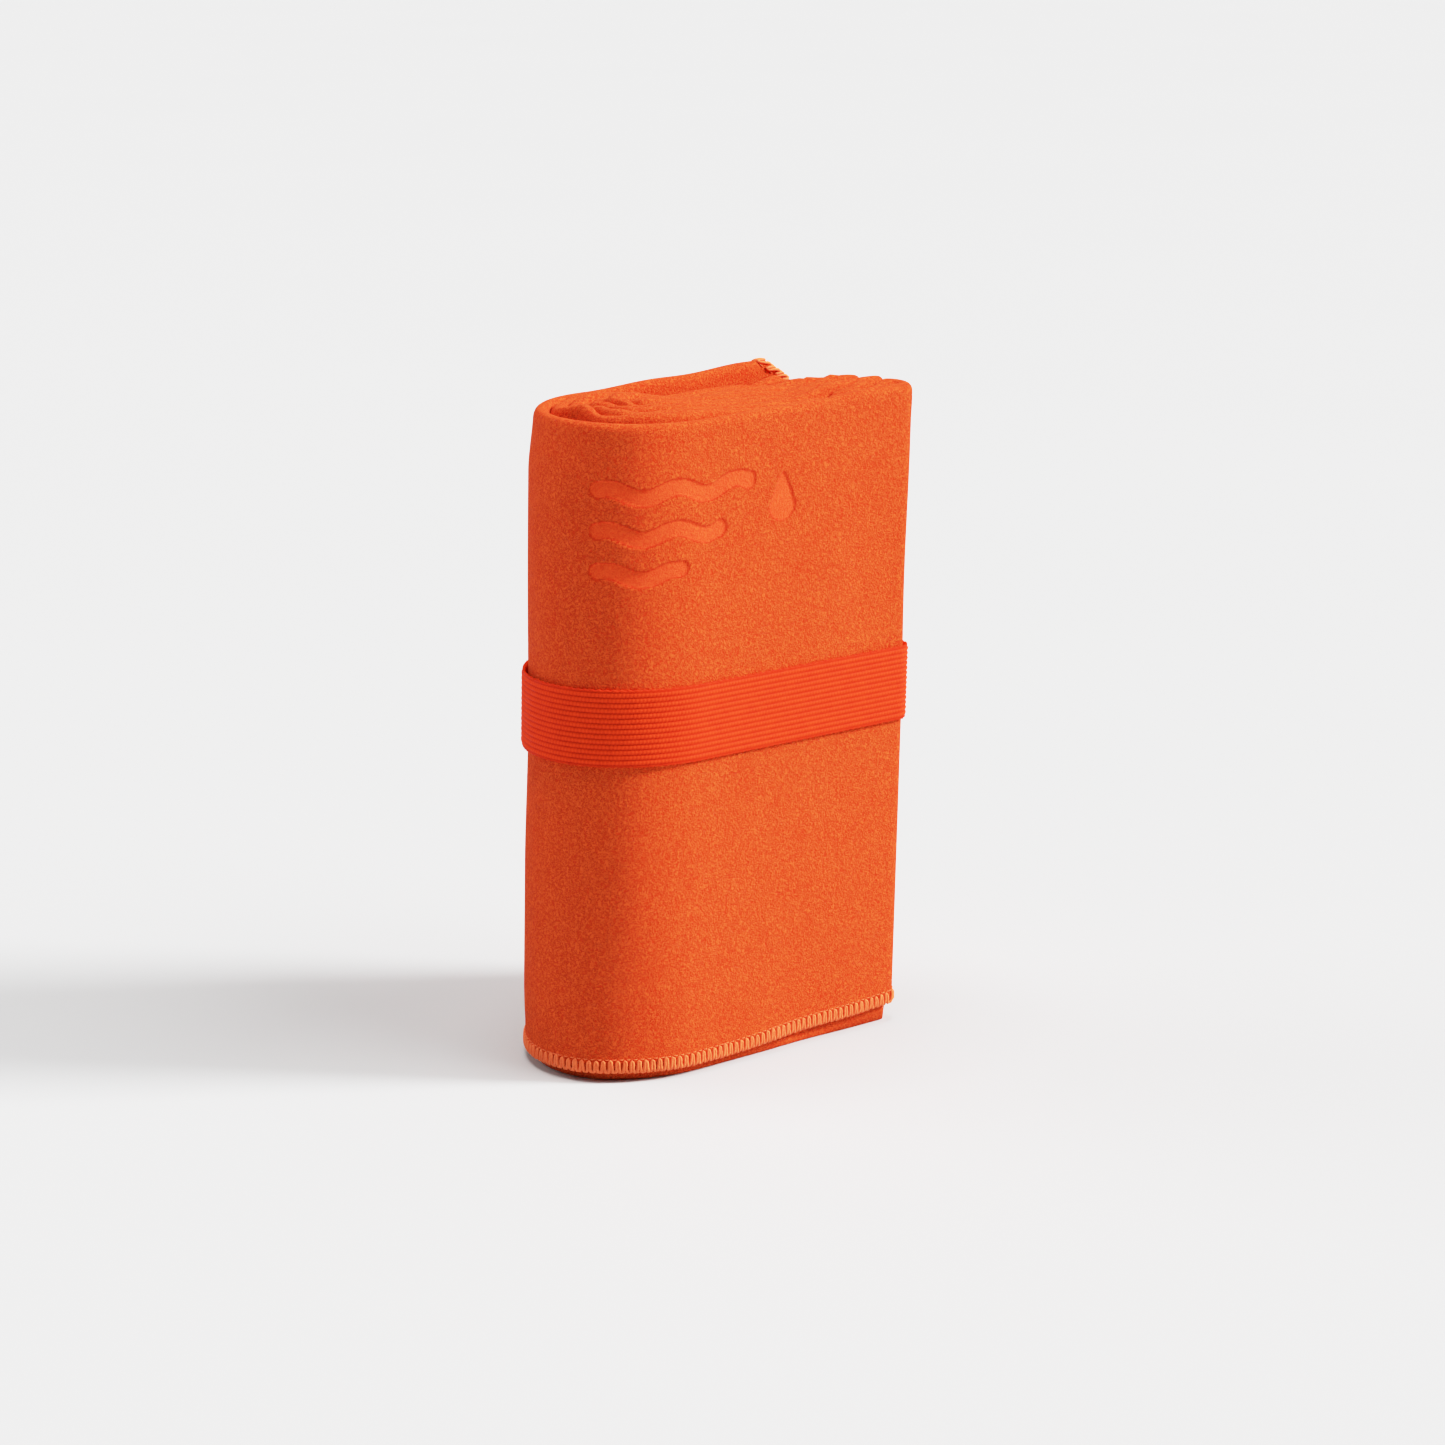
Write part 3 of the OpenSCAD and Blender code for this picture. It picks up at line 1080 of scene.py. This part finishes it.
@dataclass
class ElasticBand:
    """The woven elastic band: a ribbed strap round the bundle, lapped and sewn at the back.

    Lengths are in millimetres.

    Attributes:
        low: height of its lower edge.
        gap: room between the bundle and the strap.
        ribs: how many ribs it has, one over each rubber strand.
        pick: distance between the weft threads.
        pick_height: how far a weft thread rises and falls on a rib.
        picot: size of the weft's loops at the edges.
        flat_length: the strap's length from end to end, known once it is built.
    """

    plan: FoldPlan
    low: float
    width: float
    gap: float = 0.3
    thickness: float = 1.1
    lap_x: float = 8.0
    lap_length: float = 18.0
    ribs: int = 14
    rib_depth: float = 0.40
    pick: float = 1.2
    pick_height: float = 0.15
    picot: float = 0.16
    zigzag: float = 3.0
    zigzag_step: float = 1.6
    rows: int = 3
    thread: float = 0.22
    flat_length: float = field(default=0.0, init=False)

    def line(self) -> tuple[np.ndarray, np.ndarray, np.ndarray]:
        """Walks the strap's middle line in plan, from its inner end to its outer end.

        Returns:
            The points and their outward normals, both as x + iy, and how much thicker the strap is
            on its inside, where it climbs onto its other end.
        """
        plan, half_t, step = self.plan, self.plan.thickness / 2.0, 0.1
        corner = (plan.pitch + plan.strip) / 2.0
        right, side = plan.half_length - corner, half_t - corner
        start = self.lap_x + self.lap_length / 2.0
        quarter = math.pi / 2.0
        arcs = ((quarter, 3.0 * quarter, half_t), (-quarter, 0.0, corner), (0.0, quarter, corner))
        nose, front_turn, back_turn = (np.exp(1j * spaced(a, b, step / radius)) for a, b, radius in arcs)
        last = spaced(right, start - self.lap_length, step)
        legs = [
            (spaced(start, plan.nose_x, step) + 1j * half_t, 1j),
            (
                plan.nose_x + half_t * (plan.nose_stretch * nose.real + 1j * nose.imag),
                nose.real + 1j * plan.nose_stretch * nose.imag,
            ),
            (spaced(plan.nose_x, right, step) - 1j * half_t, -1j),
            (right - 1j * side + corner * front_turn, front_turn),
            (plan.half_length + 1j * spaced(-side, side, step), 1.0),
            (right + 1j * side + corner * back_turn, back_turn),
            (last + 1j * half_t, 1j),
        ]
        outline = np.concatenate([points for points, _ in legs])
        normal = np.concatenate([np.broadcast_to(way, points.shape) for points, way in legs])
        normal = normal / np.abs(normal)
        climb = np.zeros(len(outline))
        climb[-len(last) :] = (1.0 - ease(last, start + 0.6, start + 8.0)) * (self.thickness + 0.03)
        line = outline + normal * (self.gap + self.thickness / 2.0 + climb)
        return line, normal, climb * (line.real > start)

    def section(self) -> tuple[np.ndarray, np.ndarray, np.ndarray, np.ndarray]:
        """Lays out the strap's closed section.

        Returns:
            Heights across the strap, distances off its middle, how far each point takes part in
            the ribs' weave, and the number of the rib that it belongs to, or -1 on the inside.
        """
        half_w, half_t = self.width / 2.0, self.thickness / 2.0
        face = np.linspace(-1.0, 1.0, (self.ribs + 1) * 4 + 1)
        back = np.linspace(1.0, -1.0, self.ribs + 2)
        rib = (face + 1.0) / 2.0 * (self.ribs + 1) + 0.5
        crest = np.abs(np.sin(math.pi * rib)) ** 0.9
        edge, back_edge = (np.clip((1.0 - np.abs(q)) * self.ribs * 1.2, 0.0, 1.0) for q in (face, back))
        out = (half_t - self.rib_depth + self.rib_depth * crest) * np.sqrt(0.25 + 0.75 * edge)
        inner = -half_t * np.sqrt(0.25 + 0.75 * back_edge) * 1.17
        return (
            np.concatenate([face, back]) * half_w,
            np.concatenate([out, inner]),
            np.concatenate([crest * edge, np.zeros_like(back)]),
            np.concatenate([np.floor(rib), np.full_like(back, -1.0)]),
        )

    def build_webbing(self, finish: bpy.types.Material) -> bpy.types.Object:
        """Builds the ribbed strap.

        Args:
            finish: the elastic's material.

        Returns:
            The strap's mesh object.
        """
        line, normal, extra = self.line()
        walked = distance_along(np.stack([line.real, line.imag], -1))
        self.flat_length = float(walked[-1])
        at = np.linspace(0.0, self.flat_length, int(self.flat_length / (self.pick / 3.0)))
        parts = (line.real, line.imag, normal.real, normal.imag, extra)
        x, y, nx, ny, extra = (np.interp(at, walked, part)[:, None] for part in parts)
        heights, offs, weave, number = (part[None, :] for part in self.section())
        beat = math.tau * at[:, None] / self.pick + math.pi * (number % 2)
        offs = offs + self.pick_height * weave * np.cos(beat) - extra * (number < 0)
        rim = self.picot * (np.abs(heights) > self.width / 2.0 - 0.05)
        loop = rim * (np.sin(math.pi * at[:, None] / self.pick) - 1.0)
        z = self.low + self.width / 2.0 + heights + np.sign(heights) * loop
        draft = MeshDraft()
        draft.add_tube(np.stack([x + offs * nx + self.plan.lean_shift(z), y + offs * ny, z], -1))
        # a mark for the finish's painted light: highlight on the ribs' crests and where the weft rises,
        # painted shade between the ribs, at the strap's edges and where the weft dips; the inside is left
        # light
        crest = weave * (0.72 + 0.28 * np.cos(beat)) + (number < 0)
        return draft.build("band_ribbed_webbing", finish, crest=crest)

    def build_stitching(self, finish: bpy.types.Material) -> bpy.types.Object:
        """Builds the zigzag rows that hold the lap.

        Args:
            finish: the thread's material.

        Returns:
            The stitching's mesh object.
        """
        draft = MeshDraft()
        face = self.plan.thickness / 2.0 + self.gap + 2.0 * self.thickness
        first = self.lap_x + (self.lap_length - self.zigzag) / 2.0
        gap = (self.lap_length - 2.0 * self.zigzag) / (self.rows - 1)
        stitches = int(self.width / self.zigzag_step) - 1
        beat = np.arange(stitches * 6 + 1) / 6.0
        swing = self.zigzag * np.abs((beat % 2.0) - 1.0)
        z = self.low + self.zigzag_step * (1.0 + beat)
        y = face + 0.06 - 0.45 * np.abs(np.cos(math.pi * beat)) ** 6
        for row in range(self.rows):
            x = first - row * gap - swing + self.plan.lean_shift(z)
            Yarn(np.stack([x, y, z], -1), np.full(len(z), self.thread)).lay(draft)
        return draft.build("band_lap_zigzag", finish)


@dataclass(frozen=True)
class SoftLight:
    """A distant light, whose softness is the angle in degrees that it fills in the sky."""

    name: str
    towards: Triple
    power: float
    softness: float

    def build(self) -> None:
        """Adds the light to the scene."""
        data = bpy.data.lights.new(self.name, "SUN")
        data.energy = self.power
        data.angle = math.radians(self.softness)
        light = bpy.data.objects.new(self.name, data)
        light.rotation_euler = Vector(self.towards).to_track_quat("Z", "Y").to_euler()
        bpy.context.scene.collection.objects.link(light)


@dataclass(frozen=True)
class Studio:
    """A pale floor, soft lights and the camera, with lengths in metres.

    Attributes:
        sky: strength of the light from the sky.
        sky_seen: how bright the sky looks behind the floor.
        tone: brightness in the scene and in the picture, from dark to bright.
    """

    floor_reach: float = 30.0
    camera_azimuth: float = -37.6
    camera_pitch: float = 15.0
    camera_away: float = 1.0769
    camera_right: float = 0.0080
    camera_height: float = 0.3948
    lens: float = 85.0
    lights: tuple[SoftLight, ...] = (
        SoftLight("key_light", (0.661, -0.517, 0.545), 7.6, 12.0),
        SoftLight("top_light", (-0.06, 0.04, 1.0), 2.9, 28.0),
        SoftLight("front_light", (0.42, -0.54, 0.73), 2.3, 40.0),
        SoftLight("fill_light", (-0.557, 0.663, 0.50), 1.5, 35.0),
    )
    sky: float = 0.04
    sky_seen: float = 1.35
    sky_colour: Triple = (0.97, 0.985, 1.0)
    tone: tuple[tuple[float, float], ...] = (
        (0.2, 0.2), (0.4, 0.4), (0.7, 0.63), (1.0, 0.755), (1.5, 0.855), (2.1, 0.93), (3.0, 0.98)
    )
    tone_top: float = 4.0

    def build(self, finish: bpy.types.Material) -> None:
        """Builds the floor, the lights, the sky and the camera.

        Args:
            finish: the floor's material.
        """
        mesh = bpy.data.meshes.new("studio_floor")
        r = self.floor_reach
        mesh.from_pydata([(-r, -r, 0), (r, -r, 0), (r, r, 0), (-r, r, 0)], [], [(0, 1, 2, 3)])
        mesh.materials.append(finish)
        floor = bpy.data.objects.new("studio_floor", mesh)
        bpy.context.scene.collection.objects.link(floor)
        for light in self.lights:
            light.build()
        self._sky()
        self._camera()
        self._tone_curve()

    def _sky(self) -> None:
        """Adds a sky that is pale to look at and gives little light."""
        world = bpy.data.worlds.new("studio_world")
        world.use_nodes = True
        tree = world.node_tree
        backdrop = tree.nodes["Background"]
        backdrop.inputs["Color"].default_value = (*self.sky_colour, 1.0)
        share = tree.nodes.new("ShaderNodeMapRange")
        share.inputs["To Min"].default_value = self.sky
        share.inputs["To Max"].default_value = self.sky_seen
        seen = tree.nodes.new("ShaderNodeLightPath").outputs["Is Camera Ray"]
        tree.links.new(seen, share.inputs["Value"])
        tree.links.new(share.outputs["Result"], backdrop.inputs["Strength"])
        bpy.context.scene.world = world

    def _tone_curve(self) -> None:
        """Gives bright tones a soft shoulder, as a camera does."""
        settings = bpy.context.scene.view_settings
        settings.view_transform = "Standard"
        settings.use_curve_mapping = True
        mapping = settings.curve_mapping
        mapping.white_level = (self.tone_top,) * 3
        for seen, shown in self.tone:
            mapping.curves[3].points.new(seen / self.tone_top, shown)
        mapping.update()

    def _camera(self) -> None:
        """Adds the camera and makes it the scene's own."""
        a, p = math.radians(self.camera_azimuth), math.radians(self.camera_pitch)
        right = Vector((math.cos(a), math.sin(a), 0.0))
        ahead = Vector((-math.sin(a), math.cos(a), 0.0))
        data = bpy.data.cameras.new("camera")
        data.lens, data.sensor_width = self.lens, 36.0
        camera = bpy.data.objects.new("camera", data)
        camera.location = right * self.camera_right - ahead * self.camera_away
        camera.location.z = self.camera_height
        view = ahead * math.cos(p) + Vector((0.0, 0.0, -math.sin(p)))
        camera.rotation_euler = view.to_track_quat("-Z", "Y").to_euler()
        bpy.context.scene.collection.objects.link(camera)
        bpy.context.scene.camera = camera


def dress_strands(finish: bpy.types.Material) -> None:
    """Gives the rubber strands inside the elastic their own finish.

    Args:
        finish: the rubber's material.
    """
    strands = frame["nodes"]["band_rubber_strands"]
    strands.data.materials.clear()
    strands.data.materials.append(finish)


def settle(piece: bpy.types.Object, body: Body, slot: str, *nodes: str) -> None:
    """Hangs a finished piece on its body and reports it.

    Args:
        piece: the piece.
        body: the body that it moves with.
        slot: the record's material slot; not used.
        nodes: the plain solids that it stands for.
    """
    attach(piece, body.value)
    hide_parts(*nodes)
    LOG.info("%s: %d faces, on %s", piece.name, len(piece.data.polygons), body.value)


def main() -> None:
    """Builds the studio, the towel with its sewn edges, and the band."""
    logging.basicConfig(level=logging.INFO, format="%(message)s")
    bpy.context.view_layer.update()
    low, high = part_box("towel_cloth")
    axis = frame["joints"][0]["axis"]
    lean = math.atan2(axis[0], axis[2])
    height = high.z / MM
    length = (high.x - low.x) / MM - math.tan(lean) * height
    plan = FoldPlan(length=length, thickness=(high.y - low.y) / MM, height=height, lean=lean)
    profile = PlyProfile(height=height)
    Studio().build(PaleSweep().material())

    towel = TowelCloth(plan, profile, PressedMotif()).build(NappedCloth().material())
    settle(towel, Body.TOWEL, "cloth", "towel_cloth")
    thread = LooperThread().material()
    for edge in Edge:
        sewing = OverlockedEdge(plan, profile, edge)
        for piece, part in zip(sewing.build(thread), ("overlock", "needle_seam")):
            settle(piece, Body.TOWEL, "edge_thread", f"{edge.value}_{part}")
    section = OverlockedEdge(plan, profile, Edge.LOOSE_END).length()

    band_low, band_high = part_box("band_webbing")
    band = ElasticBand(plan, low=band_low.z / MM, width=(band_high.z - band_low.z) / MM)
    webbing = band.build_webbing(RibbedElastic().material())
    settle(webbing, Body.BAND, "elastic", "band_webbing")
    stitching = band.build_stitching(thread)
    settle(stitching, Body.BAND, "lap_thread", "band_lap_stitching")
    dress_strands(BareRubber().material())


if __name__ == "__main__":
    main()
